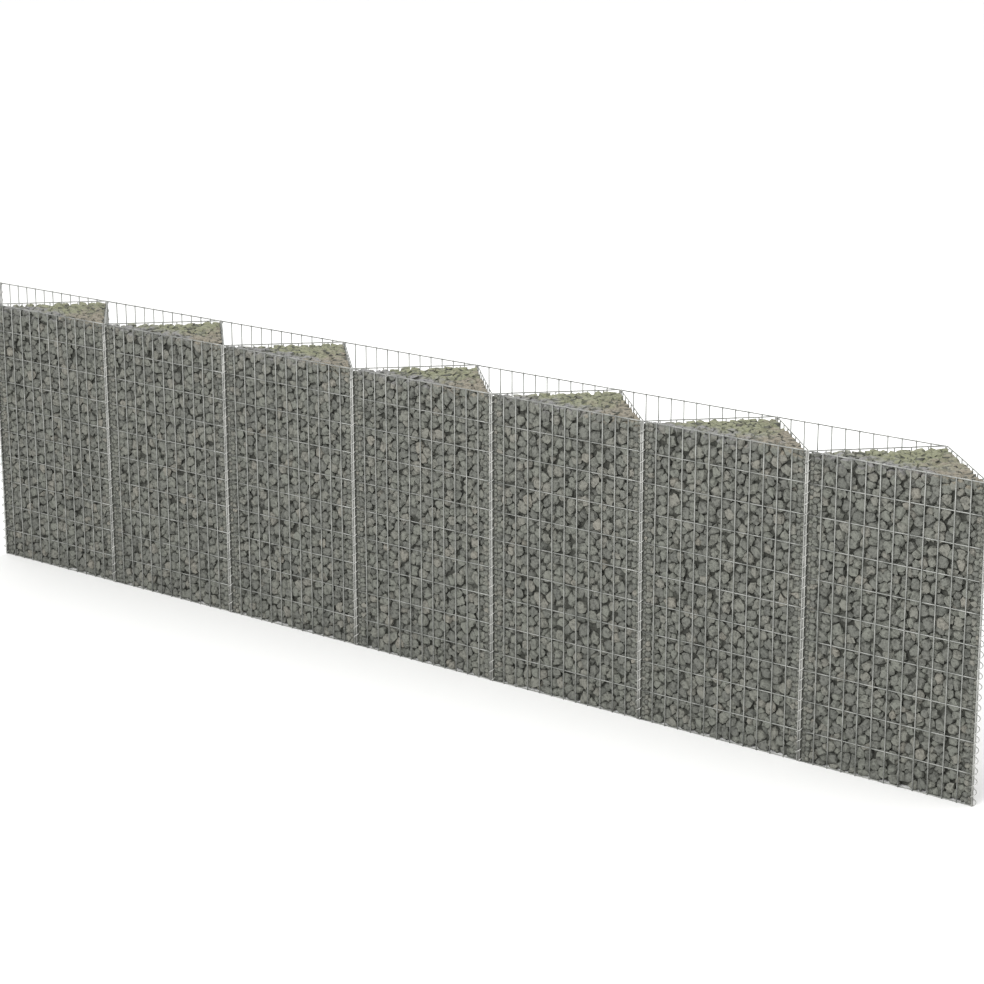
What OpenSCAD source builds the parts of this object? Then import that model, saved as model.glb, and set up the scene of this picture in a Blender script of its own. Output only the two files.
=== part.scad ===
// Zigzag gabion wall: bays of welded wire mesh laced together with wire spirals. Straight front and back
// panels are joined by side panels that run diagonally between them, so the plan is a row of triangles.
// The triangles with their base at the front are filled with stone, the others stay open.
// +X runs along the wall, the front faces -Y and +Z is up. The origin is on the ground in the middle.

/* [Wall] */
// Number of bays along the wall
bays = 7; // [2:1:8]
// Depth from the front panels' wires to the back panels' wires
wall_depth = 310; // [220:10:450]
// Mesh rows from the ground to the top wire
rows = 10; // [3:1:12]
// Height of one mesh row
row_pitch = 100; // [60:5:150]
// Mesh columns across a front or back panel
columns = 12; // [6:1:16]
// Width of one mesh column in a front or back panel
column_pitch = 50; // [40:2.5:75]
// Mesh columns across a diagonal side panel
side_columns = 8; // [4:1:12]

/* [Wire] */
// Thickness of the mesh wire
wire_d = 4; // [3:0.5:6]
// Gap between the edge wires of neighbouring straight panels
panel_gap = 4.3; // [0.2:0.1:8]
// Gap between the other edge wires at a corner
edge_gap = 0.3; // [0.2:0.1:1]

/* [Spirals] */
// Thickness of the wire that the lacing spirals are wound from
spiral_wire_d = 2.5; // [2:0.5:4]
// Room between a spiral and the edge wires inside it
spiral_play = 0.2; // [0.2:0.1:1.5]
// Room between a spiral's sleeve and the crosswires above and below it
sleeve_gap = 2; // [1:0.5:5]

/* [Stone fill] */
// Gap between the stone and the mesh around it
fill_gap = 0.3; // [0.2:0.1:3]
// How far the stone's top lies below the top of the mesh
fill_drop = 14; // [0:1:60]

/* [Hidden] */
round_fn = 64;
wire_r = wire_d / 2;
// Reach of a square wire's corner, which counts where a panel stands at a slant
wire_corner_r = wire_r * sqrt(2);
panel_width = columns * column_pitch;
panel_height = rows * row_pitch + wire_d;

// Four edge wires stand at a corner: two of straight panels, and two of side panels behind them
straight_edge_x = (wire_d + panel_gap) / 2;
side_edge_x = wire_corner_r + edge_gap / 2;
side_edge_inset = wire_r + edge_gap + wire_corner_r;
bay_pitch = panel_width + 2 * straight_edge_x;

// A side panel runs from a front corner to a back corner, half a bay further on
side_run = bay_pitch / 2 - 2 * side_edge_x;
side_rise = wall_depth - 2 * side_edge_inset;
side_length = norm([side_run, side_rise]);
side_angle = atan2(side_rise, side_run);

// A spiral's axis is in the middle of the four edge wires that it ties together, and it clears all of them
spiral_inset = (side_edge_inset + wire_corner_r - wire_r) / 2;
straight_edge_reach = norm([straight_edge_x + wire_r, spiral_inset + wire_r]);
side_edge_reach = norm([side_edge_x, side_edge_inset - spiral_inset]) + wire_corner_r;
spiral_inner_r = max(straight_edge_reach, side_edge_reach) + spiral_play;
spiral_outer_r = spiral_inner_r + spiral_wire_d;

front_y = -wall_depth / 2;
back_y = wall_depth / 2;
function front_x(corner) = (corner - (bays - 0.5) / 2) * bay_pitch;
function back_x(corner) = front_x(corner) - bay_pitch / 2;

FRONT_PANELS = [for (bay = [1:bays]) str("front_panel_", bay)];
BACK_PANELS = [for (bay = [1:bays]) str("back_panel_", bay)];
LEFT_SIDE_PANELS = [for (bay = [1:bays]) str("left_side_panel_", bay)];
RIGHT_SIDE_PANELS = [for (bay = [1:bays]) str("right_side_panel_", bay)];
STONE_FILLS = [for (bay = [1:bays]) str("stone_fill_", bay)];

// Welded mesh that stands along +X, with the middle of its first edge wire on the Z axis
module mesh_panel(column_count, width) {
    column_width = width / column_count;
    color("lightgray")
    rotate([90, 0, 0])
        linear_extrude(wire_d, center = true)
            difference() {
                translate([-wire_r, 0]) square([width + wire_d, panel_height]);
                for (column = [0:column_count - 1], row = [0:rows - 1])
                    translate([column * column_width + wire_r, row * row_pitch + wire_d])
                        square([column_width - wire_d, row_pitch - wire_d]);
            }
}

module front_panel(bay) {
    translate([front_x(bay - 1) + straight_edge_x, front_y, 0]) mesh_panel(columns, panel_width);
}

module back_panel(bay) {
    translate([back_x(bay - 1) + straight_edge_x, back_y, 0]) mesh_panel(columns, panel_width);
}

// The side panel that runs back and to the right from a front corner
module left_side_panel(bay) {
    translate([front_x(bay - 1) + side_edge_x, front_y + side_edge_inset, 0])
        rotate(side_angle) mesh_panel(side_columns, side_length);
}

// The side panel that runs back and to the left from a front corner
module right_side_panel(bay) {
    translate([front_x(bay) - side_edge_x, front_y + side_edge_inset, 0])
        rotate(180 - side_angle) mesh_panel(side_columns, side_length);
}

// The room that a lacing spiral takes up around the edge wires, in one length between each two crosswires
module spiral_sleeves() {
    sleeve_height = row_pitch - wire_d - 2 * sleeve_gap;
    color("silver")
    for (row = [0:rows - 1])
        translate([0, 0, row * row_pitch + wire_d + sleeve_gap])
            linear_extrude(sleeve_height)
                difference() {
                    circle(r = spiral_outer_r, $fn = round_fn);
                    circle(r = spiral_inner_r, $fn = round_fn);
                }
}

module front_spirals() {
    for (corner = [0:bays])
        translate([front_x(corner), front_y + spiral_inset, 0]) spiral_sleeves();
}

module back_spirals() {
    for (corner = [0:bays])
        translate([back_x(corner), back_y - spiral_inset, 0]) spiral_sleeves();
}

// The heap of stones in one bay: a prism between its front panel and its two side panels, clear of the wires
module stone_fill(bay) {
    slope = side_rise / side_run;
    front_edge_y = wire_r + fill_gap;
    // Where the side panel's inner face, moved in by the gap, crosses the line of the front corners
    side_start_x = side_edge_x - side_edge_inset / slope + (wire_r + fill_gap) / sin(side_angle);
    left_x = side_start_x + front_edge_y / slope;
    apex_y = slope * (bay_pitch / 2 - side_start_x);
    spirals = [[0, spiral_inset], [bay_pitch, spiral_inset], [bay_pitch / 2, wall_depth - spiral_inset]];
    color("dimgray")
    translate([front_x(bay - 1), front_y, 0])
        linear_extrude(panel_height - fill_drop)
            difference() {
                polygon([[left_x, front_edge_y], [bay_pitch - left_x, front_edge_y], [bay_pitch / 2, apex_y]]);
                for (spiral = spirals)
                    translate(spiral) circle(r = spiral_outer_r + fill_gap, $fn = round_fn);
            }
}

for (bay = [1:bays]) {
    front_panel(bay);
    back_panel(bay);
    left_side_panel(bay);
    right_side_panel(bay);
    stone_fill(bay);
}
// The wall's left end, from its first front corner to its first back corner
right_side_panel(0);  // end_panel
front_spirals();
back_spirals();
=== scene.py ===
"""Zigzag gabion wall: round welded wires, wound lacing spirals and broken stone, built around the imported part."""

import logging
import math
from dataclasses import dataclass, field
from enum import Enum

import bpy
import numpy as np
from mathutils import Matrix, Vector


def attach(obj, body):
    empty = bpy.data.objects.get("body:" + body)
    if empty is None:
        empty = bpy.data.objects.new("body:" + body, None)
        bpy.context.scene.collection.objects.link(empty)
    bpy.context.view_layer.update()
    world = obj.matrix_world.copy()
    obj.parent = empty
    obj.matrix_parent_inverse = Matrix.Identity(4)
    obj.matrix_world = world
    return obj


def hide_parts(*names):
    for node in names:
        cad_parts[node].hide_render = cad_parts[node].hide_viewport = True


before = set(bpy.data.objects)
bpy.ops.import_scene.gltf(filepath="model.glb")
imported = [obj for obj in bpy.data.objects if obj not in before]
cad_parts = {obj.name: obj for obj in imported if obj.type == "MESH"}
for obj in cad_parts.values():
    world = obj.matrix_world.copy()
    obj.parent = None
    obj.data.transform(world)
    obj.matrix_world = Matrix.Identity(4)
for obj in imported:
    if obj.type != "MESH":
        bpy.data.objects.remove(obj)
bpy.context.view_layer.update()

Array = np.ndarray
Colour = tuple[float, float, float, float]
logging.basicConfig(level=logging.INFO, format="%(message)s")
log = logging.getLogger("gabion_wall")

MM = 0.001


def linear(hex_colour: str) -> Colour:
    """Turn an sRGB hex colour into linear light.

    Args:
        hex_colour: Six hex digits, red first.

    Returns:
        Linear red, green, blue and an alpha of 1.
    """
    srgb = np.array([int(hex_colour[i:i + 2], 16) / 255 for i in (0, 2, 4)])
    light = np.where(srgb <= 0.04045, srgb / 12.92, ((srgb + 0.055) / 1.055) ** 2.4)
    return (*light.tolist(), 1.0)


def add_node(tree: bpy.types.NodeTree, kind: str, settings: dict | None = None, inputs: dict | None = None,
             stops: list[tuple[float, str]] | None = None) -> bpy.types.Node:
    """Add one shader node with its settings and links.

    Args:
        tree: The material's node tree.
        kind: The node's type name without its ShaderNode prefix.
        settings: Values for the node's own properties.
        inputs: For each input, by name or number, a value or the output socket to link.
        stops: The positions from 0 to 1 and sRGB hex colours of the node's colour ramp, if it has one.

    Returns:
        The new node.
    """
    new = tree.nodes.new("ShaderNode" + kind)
    for name, value in (settings or {}).items():
        setattr(new, name, value)
    for name, value in (inputs or {}).items():
        if isinstance(value, bpy.types.NodeSocket):
            tree.links.new(value, new.inputs[name])
        else:
            new.inputs[name].default_value = value
    for number, (position, colour) in enumerate(stops or []):
        elements = new.color_ramp.elements
        stop = elements[number] if number < len(elements) else elements.new(position)
        stop.position = position
        stop.color = linear(colour)
    return new


@dataclass
class Shell:
    """Points and faces gathered from several surfaces, which become one mesh."""

    points: list[Array] = field(default_factory=list)
    faces: list[Array] = field(default_factory=list)
    slots: list[Array] = field(default_factory=list)
    count: int = 0

    def add(self, points: Array, *faces: Array, slot: int = 0) -> None:
        """Add a surface.

        Args:
            points: Its points, one row of x, y and z each.
            faces: Arrays with one face a row, as numbers of its own points.
            slot: The material slot of its faces.
        """
        self.points.append(points.reshape(-1, 3))
        for rows in faces:
            self.faces.append(rows + self.count)
            self.slots.append(np.full(len(rows), slot, np.int32))
        self.count += self.points[-1].shape[0]

    def build(self, name: str, materials: list[bpy.types.Material]) -> bpy.types.Object:
        """Make the mesh and its object, smooth shaded and at the origin.

        Args:
            name: The piece's name.
            materials: The materials for the slots, in order.

        Returns:
            The new object, linked to the scene.
        """
        mesh = bpy.data.meshes.new(name)
        points = np.concatenate(self.points).astype(np.float32)
        sizes = np.concatenate([np.full(len(rows), rows.shape[1]) for rows in self.faces])
        corners = np.concatenate([rows.ravel() for rows in self.faces]).astype(np.int32)
        mesh.vertices.add(len(points))
        mesh.vertices.foreach_set("co", points.ravel())
        mesh.loops.add(len(corners))
        mesh.loops.foreach_set("vertex_index", corners)
        mesh.polygons.add(len(sizes))
        mesh.polygons.foreach_set("loop_start", np.concatenate([[0], np.cumsum(sizes)[:-1]]).astype(np.int32))
        mesh.polygons.foreach_set("material_index", np.concatenate(self.slots))
        mesh.polygons.foreach_set("use_smooth", np.ones(len(sizes), bool))
        mesh.update(calc_edges=True)
        for material in materials:
            mesh.materials.append(material)
        piece = bpy.data.objects.new(name, mesh)
        bpy.context.scene.collection.objects.link(piece)
        return piece


def tube_faces(tubes: int, rings: int, sides: int) -> tuple[Array, Array]:
    """Number the faces of closed tubes whose points run side by side, ring by ring, tube by tube.

    A quad joins neighbours on two rings, and an end is one face with its points turned outwards.

    Args:
        tubes: How many tubes there are.
        rings: Rings of points along each tube.
        sides: Points round each ring.

    Returns:
        The quads and the end faces.
    """
    ring, side = np.meshgrid(np.arange(rings - 1), np.arange(sides), indexing="ij")
    along = ring * sides
    after = (side + 1) % sides
    quads = np.stack([along + side, along + after, along + sides + after, along + sides + side], -1).reshape(-1, 4)
    ends = np.stack([np.arange(sides)[::-1], (rings - 1) * sides + np.arange(sides)])
    first = np.arange(tubes)[:, None, None] * rings * sides
    return (quads[None] + first).reshape(-1, 4), (ends[None] + first).reshape(-1, sides)


class ZincCoat(Enum):
    """The wire finishes: the edge and spiral ones are the mesh wire's zinc painted paler, a painted highlight
    against the shade in the corners.
    """

    MESH = "mesh"
    EDGE = "edge"
    SPIRAL = "spiral"


@dataclass(frozen=True)
class GalvanisedWire:
    """Drawn steel wire with a hot-dip zinc coat, which leaves it a dull silver with cloudy, paler patches."""

    name: str
    dark_zinc: str
    pale_zinc: str
    roughness: float
    metallic: float = 0.85
    cloud_size: float = 35 * MM
    drip_size: float = 3 * MM
    drip_depth: float = 0.4 * MM

    def build(self) -> bpy.types.Material:
        """Make the material."""
        material = bpy.data.materials.new(self.name)
        material.use_nodes = True
        tree = material.node_tree
        tree.nodes.clear()
        place = add_node(tree, "TexCoord").outputs["Object"]
        clouds = add_node(tree, "TexNoise", inputs={"Vector": place, "Scale": 1 / self.cloud_size, "Detail": 3.0})
        drips = add_node(tree, "TexNoise", inputs={"Vector": place, "Scale": 1 / self.drip_size, "Detail": 2.0})
        colour = add_node(tree, "ValToRGB", inputs={"Fac": clouds.outputs["Fac"]},
                          stops=[(0.35, self.dark_zinc), (0.65, self.pale_zinc)])
        rough = add_node(tree, "MapRange", inputs={
            "Value": clouds.outputs["Fac"], "From Min": 0.3, "From Max": 0.7,
            "To Min": self.roughness - 0.08, "To Max": self.roughness + 0.12})
        bump = add_node(tree, "Bump", inputs={
            "Height": drips.outputs["Fac"], "Strength": 0.25, "Distance": self.drip_depth})
        shader = add_node(tree, "BsdfPrincipled", inputs={
            "Base Color": colour.outputs["Color"], "Metallic": self.metallic, "Roughness": rough.outputs["Result"],
            "Normal": bump.outputs["Normal"]})
        add_node(tree, "OutputMaterial", inputs={"Surface": shader.outputs["BSDF"]})
        return material


@dataclass(frozen=True)
class BrokenStone:
    """Crushed grey-green igneous rock: rough broken faces, each stone a little lighter, darker or browner, with
    painted shade in the hollows of its broken faces.
    """

    bay_pitch: float
    name: str = "crushed_greenstone"
    grain_size: float = 2.5 * MM
    speckling: float = 0.45
    chip_size: float = 9 * MM
    chip_depth: float = 4 * MM
    painted_hollow_shade: float = 0.8
    patch_size: float = 45 * MM
    film_cover: float = 0.8
    film_heights: tuple[float, float] = (960 * MM, 983 * MM)
    film_slopes: tuple[float, float] = (0.15, 0.7)
    silt_edge: tuple[float, float] = (0.95, 1.15)
    silt_raggedness: float = 0.8
    lichen_edge: tuple[float, float] = (0.0, 60 * MM)
    lichen_raggedness: float = 250 * MM
    bay_start: float = 0.25
    bare_top: str = "8b8a8a"
    lichen: str = "8b8d70"
    silt: str = "8f8777"

    def build(self) -> bpy.types.Material:
        """Make the material."""
        material = bpy.data.materials.new(self.name)
        material.use_nodes = True
        tree = material.node_tree
        tree.nodes.clear()
        place = add_node(tree, "TexCoord").outputs["Object"]
        tint = add_node(tree, "Attribute", {"attribute_name": "stone_tint"}).outputs["Fac"]
        body = add_node(tree, "ValToRGB", inputs={"Fac": tint}, stops=[
            (0.0, "5b5d57"), (0.3, "676862"), (0.6, "70726a"), (0.85, "78776f"), (1.0, "827f75")])
        grain = add_node(tree, "TexNoise", inputs={
            "Vector": place, "Scale": 1 / self.grain_size, "Detail": 4.0, "Roughness": 0.6})
        speckle = add_node(tree, "ValToRGB", inputs={"Fac": grain.outputs["Fac"]}, stops=[
            (0.3, "5c5e58"), (0.5, "ffffff")])
        speckled = add_node(tree, "Mix", {"data_type": "RGBA", "blend_type": "MULTIPLY"}, {
            "Factor": self.speckling, 6: body.outputs["Color"], 7: speckle.outputs["Color"]})
        chips = add_node(tree, "TexNoise", inputs={
            "Vector": place, "Scale": 1 / self.chip_size, "Detail": 5.0, "Roughness": 0.65})
        weathered = self.weathered(tree, place, speckled.outputs[2])
        # Painted shade: the low parts of the chips' bump are darkened, as shade in the hollows
        hollow_darkening = add_node(tree, "ValToRGB", inputs={"Fac": chips.outputs["Fac"]}, stops=[
            (0.35, "9a9a9a"), (0.52, "ffffff")])
        hollow_shaded = add_node(tree, "Mix", {"data_type": "RGBA", "blend_type": "MULTIPLY"}, {
            "Factor": self.painted_hollow_shade, 6: weathered, 7: hollow_darkening.outputs["Color"]})
        bump = add_node(tree, "Bump", inputs={
            "Height": chips.outputs["Fac"], "Strength": 0.7, "Distance": self.chip_depth})
        shader = add_node(tree, "BsdfPrincipled", inputs={
            "Base Color": hollow_shaded.outputs[2], "Roughness": 0.88, "IOR": 1.55, "Normal": bump.outputs["Normal"]})
        add_node(tree, "OutputMaterial", inputs={"Surface": shader.outputs["BSDF"]})
        return material

    def weathered(self, tree: bpy.types.NodeTree, place: bpy.types.NodeSocket,
                  fresh: bpy.types.NodeSocket) -> bpy.types.NodeSocket:
        """Lay lichen green, brown silt and grey over the faces that look up along the top.

        Each bay has silt towards its right end and lichen towards the back, both with ragged edges.

        Args:
            tree: The material's node tree.
            place: Object coordinates.
            fresh: The colour of the clean stone.

        Returns:
            The weathered colour.
        """
        where = add_node(tree, "SeparateXYZ", inputs={"Vector": place})
        patches = add_node(tree, "TexNoise", inputs={
            "Vector": place, "Scale": 1 / self.patch_size, "Detail": 3.0, "Roughness": 0.6})
        bay = add_node(tree, "Math", {"operation": "MULTIPLY_ADD"}, {
            0: where.outputs["X"], 1: 1 / self.bay_pitch, 2: self.bay_start})
        along = add_node(tree, "Math", {"operation": "FRACT"}, {0: bay.outputs["Value"]})
        to_right = add_node(tree, "Math", {"operation": "MULTIPLY_ADD"}, {
            0: patches.outputs["Fac"], 1: self.silt_raggedness, 2: along.outputs["Value"]})
        silt = add_node(tree, "MapRange", inputs={
            "Value": to_right.outputs["Value"], "From Min": self.silt_edge[0], "From Max": self.silt_edge[1]})
        to_back = add_node(tree, "Math", {"operation": "MULTIPLY_ADD"}, {
            0: patches.outputs["Fac"], 1: self.lichen_raggedness, 2: where.outputs["Y"]})
        lichen = add_node(tree, "MapRange", inputs={
            "Value": to_back.outputs["Value"], "From Min": self.lichen_edge[0], "From Max": self.lichen_edge[1]})
        green = add_node(tree, "Mix", {"data_type": "RGBA"}, {
            "Factor": lichen.outputs["Result"], 6: linear(self.bare_top), 7: linear(self.lichen)})
        film = add_node(tree, "Mix", {"data_type": "RGBA"}, {
            "Factor": silt.outputs["Result"], 6: green.outputs[2], 7: linear(self.silt)}).outputs[2]
        near_top = add_node(tree, "MapRange", inputs={
            "Value": where.outputs["Z"], "From Min": self.film_heights[0], "From Max": self.film_heights[1]})
        facing = add_node(tree, "SeparateXYZ", inputs={
            "Vector": add_node(tree, "NewGeometry").outputs["Normal"]}).outputs["Z"]
        upward = add_node(tree, "MapRange", inputs={
            "Value": facing, "From Min": self.film_slopes[0], "From Max": self.film_slopes[1]})
        amount = add_node(tree, "Math", {"operation": "MULTIPLY"}, {
            0: near_top.outputs["Result"], 1: upward.outputs["Result"]})
        cover = add_node(tree, "Math", {"operation": "MULTIPLY"}, {0: amount.outputs["Value"], 1: self.film_cover})
        mixed = add_node(tree, "Mix", {"data_type": "RGBA"}, {
            "Factor": cover.outputs["Value"], 6: fresh, 7: film})
        return mixed.outputs[2]


@dataclass(frozen=True)
class PaintedGapShade:
    """Painted shade: a dark, mottled colour for the core, standing for the shaded stones deep between the outer
    stones.
    """

    name: str = "painted_gap_shade"
    mottle_size: float = 6 * MM

    def build(self) -> bpy.types.Material:
        """Make the material."""
        material = bpy.data.materials.new(self.name)
        material.use_nodes = True
        tree = material.node_tree
        tree.nodes.clear()
        place = add_node(tree, "TexCoord").outputs["Object"]
        mottle = add_node(tree, "TexNoise", inputs={"Vector": place, "Scale": 1 / self.mottle_size, "Detail": 4.0})
        colour = add_node(tree, "ValToRGB", inputs={"Fac": mottle.outputs["Fac"]}, stops=[
            (0.3, "2c2d28"), (0.7, "4a4b45")])
        shader = add_node(tree, "BsdfPrincipled", inputs={
            "Base Color": colour.outputs["Color"], "Roughness": 0.95, "IOR": 1.5})
        add_node(tree, "OutputMaterial", inputs={"Surface": shader.outputs["BSDF"]})
        return material


@dataclass(frozen=True)
class WallPlan:
    """The wall's plan: where its corners, panels and bays are.

    Insets are measured back from the middle of a straight panel's uprights: to the side panels' edge wires, and to
    the spirals' axes.
    """

    bays: int = 7
    panel_width: float = 600 * MM
    wall_depth: float = 310 * MM
    wire: float = 4 * MM
    panel_gap: float = 4.3 * MM
    side_panel_gap: float = 0.3 * MM
    side_inset: float = 3.8 * MM
    spiral_inset: float = 3.0 * MM

    @property
    def bay_pitch(self) -> float:
        """The distance between two corners in one row."""
        return self.panel_width + self.wire + self.panel_gap

    @property
    def edge(self) -> float:
        """How far a straight panel's edge wire stands to the side of its corner."""
        return (self.wire + self.panel_gap) / 2

    @property
    def side_edge(self) -> float:
        """How far a side panel's edge wire stands to the side of its corner, nested between the straight ones."""
        return (self.wire + self.side_panel_gap) / 2

    def front_corner(self, number: int) -> Array:
        """Give a front corner's place in plan."""
        return np.array([(number - (self.bays - 0.5) / 2) * self.bay_pitch, -self.wall_depth / 2])

    def back_corner(self, number: int) -> Array:
        """Give a back corner's place in plan."""
        return self.front_corner(number) + np.array([-self.bay_pitch / 2, self.wall_depth])


@dataclass(frozen=True)
class MeshPanel:
    """One flat panel of welded mesh, with its uprights on one side and its crosswires welded across them."""

    node: str
    start: Array
    end: Array
    columns: int
    cross_side: float
    rows: int = 10
    row_pitch: float = 100 * MM
    wire: float = 4 * MM
    weld_depth: float = 0.9 * MM
    wander: float = 0.35 * MM
    waves: float = 1.3
    sides: int = 8
    rings: int = 9

    def wires(self, starts: Array, ends: Array, generator: np.random.Generator) -> Array:
        """Carry a circle along straight lines that wander a little.

        A point is start + t (end - start) + a slow sine to each side + radius (cos a u + sin a v), where u and v
        are square to the line. A crosswire doesn't wander up or down.

        Args:
            starts: The wires' first points.
            ends: The wires' last points.
            generator: The source of the wander.

        Returns:
            Points in order of wire, ring and side.
        """
        t = np.linspace(0, 1, self.rings)[None, :, None, None]
        angle = np.linspace(0, 2 * np.pi, self.sides, endpoint=False)[None, None, :, None]
        axis = (ends - starts) / np.linalg.norm(ends - starts, axis=1, keepdims=True)
        across = np.array([-(self.end - self.start)[1], (self.end - self.start)[0], 0.0])
        across = across / np.linalg.norm(across)
        u = np.broadcast_to(across, axis.shape)
        v = np.cross(axis, u)
        u, v, first, last = (a[:, None, None, :] for a in (u, v, starts, ends))
        phase = generator.uniform(0, 2 * np.pi, (2, len(starts), 1, 1, 1))
        size = generator.normal(0, self.wander, (2, len(starts), 1, 1, 1))
        bend = np.sin(np.pi * t) * np.sin(2 * np.pi * t * self.waves + phase) * size
        bend[1, starts[:, 2] == ends[:, 2]] = 0
        radius = self.wire / 2
        return (first + (last - first) * t + bend[0] * u + bend[1] * v
                + radius * (np.cos(angle) * u + np.sin(angle) * v))

    def build(self, materials: list[bpy.types.Material], generator: np.random.Generator) -> bpy.types.Object:
        """Make the panel's piece.

        Args:
            materials: The finish of the inner wires and the one of the two edge wires, which is painted paler to
                make up for the shade at the corner.
            generator: The source of the wires' wander.

        Returns:
            The new object.
        """
        line = self.end - self.start
        length = np.linalg.norm(line)
        along = line / length
        normal = np.array([-along[1], along[0]])
        radius = self.wire / 2
        feet = self.start + line * np.linspace(0, 1, self.columns + 1)[:, None]
        low = np.column_stack([feet, np.zeros(len(feet))])
        high = low + [0, 0, self.rows * self.row_pitch + self.wire]
        heights = radius + self.row_pitch * np.arange(self.rows + 1)
        offset = normal * self.cross_side * (self.wire - self.weld_depth)
        left = self.start + offset
        right = self.end + offset
        cross_low = np.column_stack([np.tile(left, (len(heights), 1)), heights])
        cross_high = np.column_stack([np.tile(right, (len(heights), 1)), heights])
        starts = np.concatenate([low, cross_low])
        ends = np.concatenate([high, cross_high])
        tubes = self.wires(starts, ends, generator)
        at_edge = np.isin(np.arange(len(tubes)), (0, self.columns))
        shell = Shell()
        for slot, chosen in enumerate((tubes[~at_edge], tubes[at_edge])):
            shell.add(chosen, *tube_faces(len(chosen), self.rings, self.sides), slot=slot)
        return shell.build(self.node.replace("panel", "wires"), materials)


@dataclass(frozen=True)
class LacingSpirals:
    """The wound wires of one row of corners, three turns to each mesh row."""

    name: str
    node: str
    axes: Array
    outward: float
    wire: float = 3.0 * MM
    coil_radius: float = 9.0 * MM
    pitch: float = 100 / 3 * MM
    bottom: float = 5 * MM
    top: float = 999 * MM
    crossing: float = 2 * MM
    steps_per_turn: int = 12
    sides: int = 6

    def build(self, material: bpy.types.Material) -> bpy.types.Object:
        """Make the spirals: a circle carried along a helix.

        A point is axis + (R + r cos a) n + r sin a b, where n points away from the axis at the turn's angle and b is
        square to n and to the helix. At each crosswire's height the coil is on its outward side.

        Args:
            material: The wire's finish.

        Returns:
            The new object.
        """
        turns = (self.top - self.bottom) / self.pitch
        rings = int(turns * self.steps_per_turn) + 1
        z = np.linspace(self.bottom, self.top, rings)[None, :, None]
        angle = self.outward + 2 * np.pi * (z - self.crossing) / self.pitch
        around = np.linspace(0, 2 * np.pi, self.sides, endpoint=False)[None, None, :]
        lean = math.atan2(self.pitch, 2 * math.pi * self.coil_radius)
        radius = self.wire / 2
        reach = self.coil_radius + radius * np.cos(around)
        side = radius * np.sin(around)
        x = reach * np.cos(angle) + side * math.sin(lean) * np.sin(angle)
        y = reach * np.sin(angle) - side * math.sin(lean) * np.cos(angle)
        height = z + side * math.cos(lean)
        coil = np.stack(np.broadcast_arrays(x, y, height), -1)
        places = np.column_stack([self.axes, np.zeros(len(self.axes))])[:, None, None, :]
        shell = Shell()
        quads, ends = tube_faces(len(self.axes), rings, self.sides)
        shell.add(coil + places, quads[:, ::-1], ends[:, ::-1])
        return shell.build(self.name, [material])


def ball_grid(steps: int) -> tuple[Array, Array]:
    """Lay a square grid over the six sides of a cube and blow it up to a ball.

    A point's three places on the cube, centred, are taken as angles, so that the squares come out more even. Their
    tangents, divided by the length of all three, are its direction.

    Args:
        steps: Squares along each edge of the cube.

    Returns:
        Unit directions and the quads between them, seen from outside anticlockwise.
    """
    a, b = (g.ravel() for g in np.meshgrid(np.arange(steps), np.arange(steps), indexing="ij"))
    corners = np.stack([np.stack([a + i, b + j], -1) for i, j in ((0, 0), (1, 0), (1, 1), (0, 1))], 1)
    quads = []
    for axis in range(3):
        first, second = (axis + 1) % 3, (axis + 2) % 3
        for level, order in ((0, slice(None, None, -1)), (steps, slice(None))):
            side = np.zeros((len(a), 4, 3), int)
            side[:, :, axis] = level
            side[:, :, first] = corners[:, order, 0]
            side[:, :, second] = corners[:, order, 1]
            quads.append(side)
    points, index = np.unique(np.concatenate(quads).reshape(-1, 3), axis=0, return_inverse=True)
    directions = np.tan((points / steps - 0.5) * np.pi / 2)
    directions = directions / np.linalg.norm(directions, axis=1, keepdims=True)
    return directions, index.reshape(-1, 4)


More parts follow.
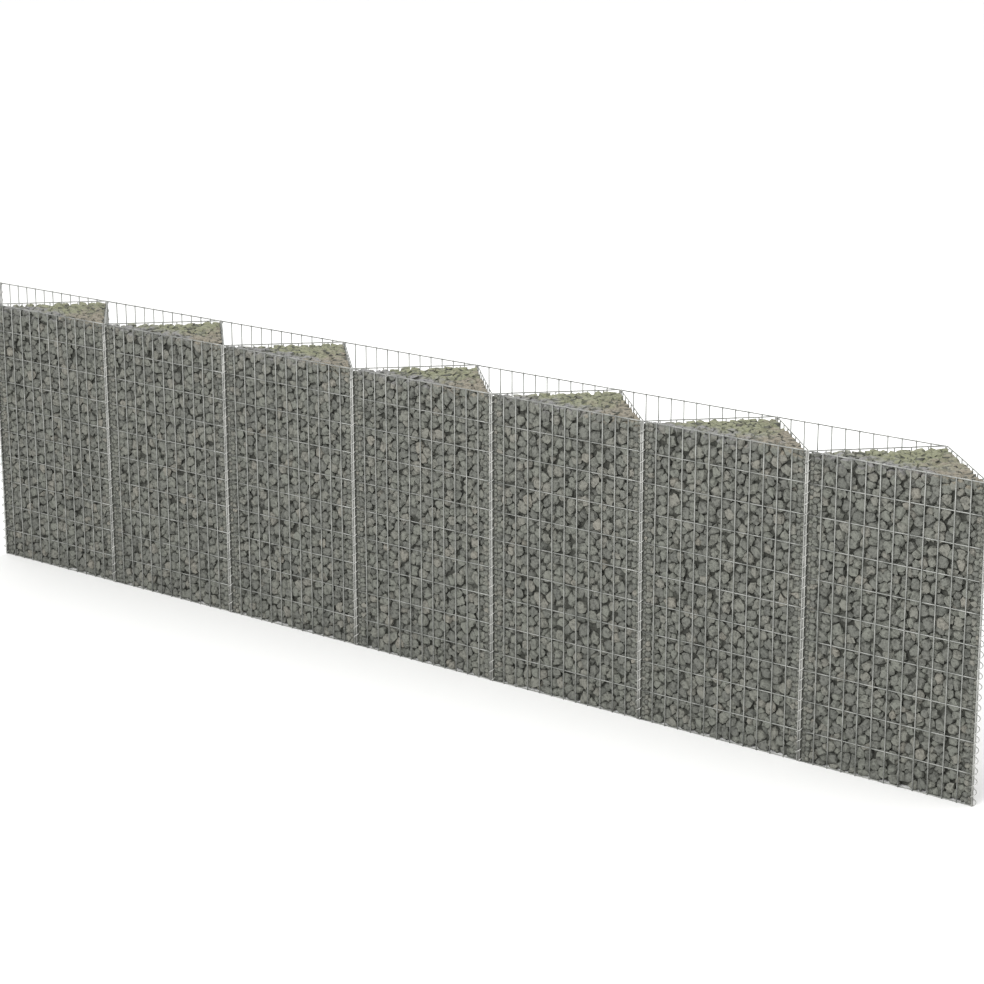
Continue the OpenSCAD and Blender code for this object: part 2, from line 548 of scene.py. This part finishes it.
@dataclass(frozen=True)
class StoneHeap:
    """The stones of one bay, packed between its front panel and its two side panels."""

    name: str
    node: str
    panels: Array
    size: float = 30 * MM
    front_gap: float = 5.3 * MM
    side_gap: float = 2.4 * MM
    top: float = 1002 * MM
    top_scatter: tuple[float, float] = (-5 * MM, 1 * MM)
    overshoot: float = 1 * MM
    lid_tilt: float = 0.16
    least_lid: float = 0.2
    corner_crowding: float = 3.0
    corner_reach: float = 30 * MM
    wedge_columns: tuple[tuple[float, float], ...] = ((6 * MM, 15 * MM), (19 * MM, 18 * MM))
    wedge_clear: float = 31 * MM
    wedge_lift: tuple[float, float] = (0.25, 0.75)
    wedge_slide: tuple[float, float] = (0.85, 1.15)
    settling_rounds: int = 2
    samples: int = 22000
    sharpness: float = 18.0
    shrink: float = 0.995
    chips: int = 6
    chip_range: tuple[float, float] = (0.5, 0.82)
    sharp_edge: float = math.radians(28)
    shell_depth: float = 1.4
    showing: float = 9 * MM
    fine_share: float = 0.3
    coarse_steps: int = 2
    fine_steps: int = 3
    tint_spread: float = 2.2
    core_inset: float = 17 * MM
    core_foot: float = 4 * MM
    core_drop: float = 9 * MM
    core_blade: float = 3.5 * MM
    neighbours: int = 22

    def walls(self) -> tuple[Array, Array]:
        """Give the planes that hold the stones in.

        Returns:
            Unit normals that point out of the heap, for the front, the right, the left and the ground, and each
            plane's distance from the origin along its normal.
        """
        runs = self.panels[:, 1] - self.panels[:, 0]
        normals = np.column_stack([runs[:, 1], -runs[:, 0]]) / np.linalg.norm(runs, axis=1, keepdims=True)
        gaps = np.array([self.front_gap, self.side_gap, self.side_gap])
        offsets = (normals * self.panels[:, 0]).sum(1) - gaps
        normals = np.column_stack([normals, np.zeros(3)])
        return np.vstack([normals, [[0, 0, -1]]]), np.append(offsets, 0.0)

    def footprint(self, inset: float = 0.0) -> Array:
        """Give the heap's triangle in plan, where neighbouring walls meet.

        Args:
            inset: How far each wall is moved inwards first.

        Returns:
            The left, right and back corner.
        """
        normals, offsets = self.walls()
        pairs = np.array([[2, 0], [0, 1], [1, 2]])
        return np.linalg.solve(normals[pairs, :2], offsets[pairs][:, :, None] - inset)[:, :, 0]

    def scatter(self, count: int, generator: np.random.Generator) -> Array:
        """Scatter points through the heap, closer together in its two narrow front corners.

        An even scatter weighs a triangle's corners by the root of one random number and a second one. Of that,
        a point is kept with odds of 1 + c exp(-distance to the nearer corner / reach), over 1 + c.

        Args:
            count: How many points, before the narrow corners get more.
            generator: The source of the scatter.

        Returns:
            The points.
        """
        left, right, back = self.footprint()
        first, second, third, luck = generator.uniform(size=(4, int(count * (1 + self.corner_crowding)), 1))
        root = np.sqrt(first)
        plan = (1 - root) * left + root * (1 - second) * right + root * second * back
        corner = np.minimum(np.linalg.norm(plan - left, axis=1), np.linalg.norm(plan - right, axis=1))
        odds = 1 + self.corner_crowding * np.exp(-corner / self.corner_reach)
        keep = luck[:, 0] * (1 + self.corner_crowding) < odds
        return np.column_stack([plan, third * self.top])[keep]

    def seeds(self, generator: np.random.Generator) -> Array:
        """Place the stones' middles: scattered, then each moved a few times to the middle of the room it has.

        Args:
            generator: The source of the scatter.

        Returns:
            The middles.
        """
        left, right, back = self.footprint()
        area = abs((right - left)[0] * (back - left)[1] - (right - left)[1] * (back - left)[0]) / 2
        seeds = self.scatter(int(area * self.top / self.size ** 3), generator)
        for _ in range(self.settling_rounds):
            cloud = self.scatter(self.samples, generator)
            middles = seeds.astype(np.float32)
            owner = ((middles ** 2).sum(1) - 2 * cloud.astype(np.float32) @ middles.T).argmin(1)
            share = np.maximum(np.bincount(owner, minlength=len(seeds)), 1)[:, None]
            sums = np.column_stack([np.bincount(owner, cloud[:, axis], len(seeds)) for axis in range(3)])
            seeds = np.where(sums.any(1, keepdims=True), sums / share, seeds)
        free = (np.linalg.norm(seeds[:, :2] - left, axis=1) > self.wedge_clear) & (
            np.linalg.norm(seeds[:, :2] - right, axis=1) > self.wedge_clear)
        wedges = [self.wedge(place, spacing, corner, other, generator) for place, spacing in self.wedge_columns
                  for corner, other in ((left, right), (right, left))]
        return np.concatenate([seeds[free], *wedges])

    def wedge(self, place: float, spacing: float, corner: Array, other: Array,
              generator: np.random.Generator) -> Array:
        """Place a column of small stones in a narrow front corner, on the line that halves it.

        Args:
            place: The column's distance from the corner.
            spacing: The height from one stone to the next.
            corner: The corner in plan.
            other: The front corner at the other end.
            generator: The source of the scatter.

        Returns:
            The stones' middles.
        """
        toward = self.halving(corner, other)
        count = int(self.top / spacing)
        heights = (np.arange(count) + generator.uniform(*self.wedge_lift, count)) * self.top / count
        plan = corner + toward * place * generator.uniform(*self.wedge_slide, (count, 1))
        return np.column_stack([plan, heights])

    def halving(self, corner: Array, other: Array) -> Array:
        """Give the direction in plan that halves a front corner's angle.

        Args:
            corner: The corner in plan.
            other: The front corner at the other end.

        Returns:
            The unit direction that points into the heap.
        """
        arms = np.array([other - corner, self.footprint()[2] - corner])
        total = (arms / np.linalg.norm(arms, axis=1, keepdims=True)).sum(0)
        return total / np.linalg.norm(total)

    def build(self, materials: list[bpy.types.Material], generator: np.random.Generator) -> bpy.types.Object:
        """Make the outer stones of the heap round its dark core, which is painted shade for the stones deeper in.

        Along a direction d a stone reaches r = (sum over planes of (d . n / h) ^ p) ^ (-1 / p), where the planes lie
        halfway to its neighbours, along the basket, over its top and where chips broke off, n is a plane's normal
        and h its distance. So each stone is a block with worn edges that fits between the others.

        Args:
            materials: The stone and the painted shade between the stones.
            generator: The source of all the scatter.

        Returns:
            The new object.
        """
        seeds = self.seeds(generator)
        normals, offsets = self.walls()
        depth = np.minimum((offsets - seeds @ normals.T)[:, :3].min(1), self.top - seeds[:, 2])
        outer = seeds[depth < self.shell_depth * self.size]
        planes = self.planes(seeds, outer, generator)

        coarse = ball_grid(self.coarse_steps)
        directions = self.turned(coarse[0], len(outer), generator)
        points = outer[:, None] + directions * self.reach(planes, directions)[:, :, None]
        behind = np.minimum((offsets[:3] - points @ normals[:3].T).min((1, 2)), self.top - points[:, :, 2].max(1))
        shows = behind < self.showing
        outer, planes = outer[shows], planes[shows]
        size = np.linalg.norm(points[shows] - outer[:, None], axis=2).mean(1)
        # The smaller stones keep the coarse grid
        fine = size > np.quantile(size, 1 - self.fine_share)
        shell = Shell()
        count = 0
        tints = []
        for grid, chosen in ((coarse, ~fine), (ball_grid(self.fine_steps), fine)):
            directions = self.turned(grid[0], chosen.sum(), generator)
            reach = self.reach(planes[chosen], directions)
            points = outer[chosen][:, None] + directions * reach[:, :, None]
            points[:, :, 2] = np.minimum(points[:, :, 2], self.top + self.overshoot)
            first = np.arange(len(points))[:, None, None] * points.shape[1]
            shell.add(points, (grid[1][None] + first).reshape(-1, 4))
            tints.append(np.repeat(generator.beta(self.tint_spread, self.tint_spread, len(points)), points.shape[1]))
            count += len(points)
        shell.add(*self.core(), slot=1)
        piece = shell.build(self.name, materials)
        # The core's top face takes the stone material instead of the painted shade, and is weathered like the top
        # stones
        piece.data.polygons[-1].material_index = 0
        piece.data.set_sharp_from_angle(angle=self.sharp_edge)
        tint = np.zeros(len(piece.data.vertices), np.float32)
        tint[:sum(map(len, tints))] = np.concatenate(tints)
        log.info("%s has %d stones", self.name, count)
        attribute = piece.data.attributes.new("stone_tint", "FLOAT", "POINT")
        attribute.data.foreach_set("value", tint)
        return piece

    def planes(self, seeds: Array, outer: Array, generator: np.random.Generator) -> Array:
        """Give the planes that cut each stone, each as its normal over its distance from the stone's middle.

        Args:
            seeds: The middles of all the stones.
            outer: The middles of the stones to cut.
            generator: The source of the chips and of the stones' slanting tops.

        Returns:
            The planes of each stone.
        """
        normals, offsets = self.walls()
        squared = (seeds ** 2).sum(1) - 2 * outer @ seeds.T
        near = np.argpartition(squared, self.neighbours + 1, axis=1)[:, :self.neighbours + 1]
        to_near = seeds[near] - outer[:, None]
        length = (to_near ** 2).sum(2, keepdims=True)
        bisector = np.where(length > 0, 2 * to_near / np.maximum(length, 1e-12), 0.0)
        basket = normals[None] / (offsets - outer @ normals.T)[:, :, None]
        ceiling = self.top + generator.uniform(*self.top_scatter, len(outer)) - outer[:, 2]
        lid = np.dstack([generator.normal(0, self.lid_tilt, (len(outer), 1, 2)), np.ones((len(outer), 1, 1))])
        reach = np.maximum(ceiling, self.least_lid * self.size)
        lid /= np.linalg.norm(lid, axis=2, keepdims=True) * reach[:, None, None]
        broken = generator.normal(size=(len(outer), self.chips, 3))
        broken /= np.linalg.norm(broken, axis=2, keepdims=True)
        broken /= self.size * generator.uniform(*self.chip_range, (len(outer), self.chips, 1))
        return np.concatenate([bisector, basket, lid, broken], axis=1)

    def turned(self, directions: Array, count: int, generator: np.random.Generator) -> Array:
        """Turn a set of directions at random, once for each stone.

        Args:
            directions: The directions.
            count: How many stones.
            generator: The source of the turns.

        Returns:
            The directions of each stone.
        """
        turns = np.linalg.qr(generator.normal(size=(count, 3, 3)))[0]
        turns *= np.linalg.det(turns)[:, None, None]
        return np.einsum("dc,skc->sdk", directions, turns)

    def reach(self, planes: Array, directions: Array) -> Array:
        """Give each stone's reach along its directions: (sum over planes of (d . n / h) ^ p) ^ (-1 / p)."""
        closeness = np.maximum(np.einsum("spc,sdc->sdp", planes, directions), 0)
        return (closeness ** self.sharpness).sum(2) ** (-1 / self.sharpness) * self.shrink

    def core(self) -> tuple[Array, Array, Array, Array]:
        """Make the dark prism that lies behind the outer stones: painted shade that stands for the shaded stones
        deep in the heap.

        In plan it is the heap's triangle drawn in on all sides, with a narrow blade out to the edge wire at each
        front corner.

        Returns:
            Its points, its bottom, its sides and last its top.
        """
        left, right, _ = self.footprint()
        inner_left, inner_right, inner_back = self.footprint(self.core_inset)
        along = (right - left) / np.linalg.norm(right - left)
        up_left = (inner_back - inner_left) / np.linalg.norm(inner_back - inner_left)
        up_right = (inner_back - inner_right) / np.linalg.norm(inner_back - inner_right)
        root = self.core_inset
        plan = np.array([
            left - self.halving(left, right) * self.core_blade, inner_left + along * root,
            inner_right - along * root, right - self.halving(right, left) * self.core_blade,
            inner_right + up_right * root, inner_back, inner_left + up_left * root])
        count = len(plan)
        low = np.column_stack([plan, np.full(count, self.core_foot)])
        high = np.column_stack([plan, np.full(count, self.top - self.core_drop)])
        here = np.arange(count)
        after = (here + 1) % count
        sides = np.stack([here, after, after + count, here + count], -1)
        return np.concatenate([low, high]), here[None, ::-1], sides, here[None] + count


@dataclass(frozen=True)
class GabionWall:
    """The whole wall, panel by panel and bay by bay."""

    plan: WallPlan = WallPlan()
    columns: int = 12
    side_columns: int = 8
    seed: int = 41

    def panels(self) -> list[MeshPanel]:
        """List the mesh panels. A straight panel's crosswires lie inside, a side panel's face the open pocket."""
        plan = self.plan
        edge = np.array([plan.edge, 0])
        side = np.array([plan.side_edge, 0])
        inset = np.array([0, plan.side_inset])
        panels = [MeshPanel("end_panel", plan.front_corner(0) - side + inset, plan.back_corner(0) + side - inset,
                            self.side_columns, -1)]
        for bay in range(1, plan.bays + 1):
            left, right, apex = plan.front_corner(bay - 1), plan.front_corner(bay), plan.back_corner(bay)
            panels += [
                MeshPanel(f"front_panel_{bay}", left + edge, right - edge, self.columns, 1),
                MeshPanel(f"back_panel_{bay}", plan.back_corner(bay - 1) + edge, apex - edge, self.columns, -1),
                MeshPanel(f"left_side_panel_{bay}", left + side + inset, apex - side - inset, self.side_columns, 1),
                MeshPanel(f"right_side_panel_{bay}", right - side + inset, apex + side - inset,
                          self.side_columns, -1)]
        return panels

    def spirals(self) -> list[LacingSpirals]:
        """List the two rows of lacing spirals."""
        plan = self.plan
        inset = np.array([0, plan.spiral_inset])
        corners = range(plan.bays + 1)
        front = np.array([plan.front_corner(k) + inset for k in corners])
        back = np.array([plan.back_corner(k) - inset for k in corners])
        return [LacingSpirals("front_lacing", "front_spirals", front, -math.pi / 2),
                LacingSpirals("back_lacing", "back_spirals", back, math.pi / 2)]

    def heaps(self) -> list[StoneHeap]:
        """List the bays' heaps of stone."""
        plan = self.plan
        side = np.array([plan.side_edge, 0])
        inset = np.array([0, plan.side_inset])
        heaps = []
        for bay in range(1, plan.bays + 1):
            left, right, apex = plan.front_corner(bay - 1), plan.front_corner(bay), plan.back_corner(bay)
            panels = np.array([[left, right], [right - side + inset, apex + side - inset],
                               [apex - side - inset, left + side + inset]])
            heaps.append(StoneHeap(f"stones_{bay}", f"stone_fill_{bay}", panels))
        return heaps

    def build(self) -> None:
        """Make every piece and join it to the frame."""
        generator = np.random.default_rng(self.seed)
        # The edge and lacing coats are the mesh wire's zinc painted paler: painted light that makes up for the shade
        # the coils and stones cast at the corners
        coats = {ZincCoat.MESH: GalvanisedWire("galvanised_mesh_wire", "868884", "a5a6a2", 0.45),
                 ZincCoat.EDGE: GalvanisedWire("edge_zinc_with_painted_light", "a4a5a1", "bcbcb8", 0.43),
                 ZincCoat.SPIRAL: GalvanisedWire("lacing_zinc_with_painted_light", "aeafab", "c6c6c2", 0.43)}
        zinc = {kind: coat.build() for kind, coat in coats.items()}
        for panel in self.panels():
            join(panel.build([zinc[ZincCoat.MESH], zinc[ZincCoat.EDGE]], generator), panel.node)
        for row in self.spirals():
            join(row.build(zinc[ZincCoat.SPIRAL]), row.node)
        # The second material is painted shade, used for each heap's dark core
        stone = [BrokenStone(self.plan.bay_pitch).build(), PaintedGapShade().build()]
        for heap in self.heaps():
            join(heap.build(stone, generator), heap.node)


def join(piece: bpy.types.Object, node: str) -> None:
    """Let a piece ride on the wall in place of its node.

    Args:
        piece: The new piece.
        node: The CAD node that it stands for.
    """
    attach(piece, "root")
    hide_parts(node)
    corners = np.empty(len(piece.data.polygons), np.int32)
    piece.data.polygons.foreach_get("loop_total", corners)
    log.info("%s stands for %s with %d triangles", piece.name, node, (corners - 2).sum())


@dataclass(frozen=True)
class Studio:
    """A white room with soft light, and the camera in front of the wall's right end."""

    camera_place: tuple[float, float, float] = (5.6521, -6.79063, 3.0242)
    turn: float = 38.0395
    tilt: float = 15.6294
    roll: float = -0.1354
    lens: float = 96.04
    sensor: float = 36.0
    floor_size: float = 60.0
    sky: float = 1.04
    softboxes: tuple[tuple[float, tuple[float, float, float]], ...] = (
        (430.0, (1.6, -7.0, 4.6)), (170.0, (-1.0, 6.5, 4.0)))
    softbox_size: float = 5.0
    softbox_aim: tuple[float, float, float] = (0.5, 0.0, 0.5)

    def build(self) -> None:
        """Set up the floor, the light and the camera."""
        self.add_floor()
        self.add_sky()
        for watts, place in self.softboxes:
            self.add_softbox(watts, place)
        self.add_camera()

    def add_floor(self) -> None:
        """Lay the pale floor."""
        half = self.floor_size / 2
        shell = Shell()
        shell.add(np.array([[-half, -half, 0], [half, -half, 0], [half, half, 0], [-half, half, 0]]),
                  np.array([[0, 1, 2, 3]]))
        material = bpy.data.materials.new("pale_floor")
        material.use_nodes = True
        shader = material.node_tree.nodes["Principled BSDF"]
        shader.inputs["Base Color"].default_value = linear("fcfcfb")
        shader.inputs["Roughness"].default_value = 0.9
        shell.build("floor", [material])

    def add_sky(self) -> None:
        """Light the white room evenly."""
        scene = bpy.context.scene
        scene.view_settings.view_transform = "Standard"
        scene.world = bpy.data.worlds.new("white_room")
        scene.world.use_nodes = True
        background = scene.world.node_tree.nodes["Background"]
        background.inputs["Color"].default_value = (1.0, 1.0, 1.0, 1.0)
        background.inputs["Strength"].default_value = self.sky

    def add_softbox(self, watts: float, place: tuple[float, float, float]) -> None:
        """Hang a large square lamp that looks at the wall, a little to the right of its middle.

        Args:
            watts: The lamp's power.
            place: Where it hangs.
        """
        lamp = bpy.data.lights.new("softbox", "AREA")
        lamp.size = self.softbox_size
        lamp.energy = watts
        holder = bpy.data.objects.new("softbox", lamp)
        aim = Vector(self.softbox_aim) - Vector(place)
        holder.matrix_world = Matrix.Translation(place) @ aim.to_track_quat("-Z", "Y").to_matrix().to_4x4()
        bpy.context.scene.collection.objects.link(holder)

    def add_camera(self) -> None:
        """Place the camera: turned from +Y towards -X, tilted down and rolled by the given degrees."""
        turn, tilt, roll = (math.radians(a) for a in (self.turn, self.tilt, self.roll))
        data = bpy.data.cameras.new("camera")
        data.lens = self.lens
        data.sensor_width = self.sensor
        data.clip_end = 200.0
        camera = bpy.data.objects.new("camera", data)
        facing = Matrix.Rotation(turn, 4, "Z") @ Matrix.Rotation(math.pi / 2 - tilt, 4, "X")
        camera.matrix_world = Matrix.Translation(self.camera_place) @ facing @ Matrix.Rotation(roll, 4, "Z")
        bpy.context.scene.collection.objects.link(camera)
        bpy.context.scene.camera = camera


def main() -> None:
    """Build the wall in its studio."""
    Studio().build()
    GabionWall().build()


if __name__ == "__main__":
    main()
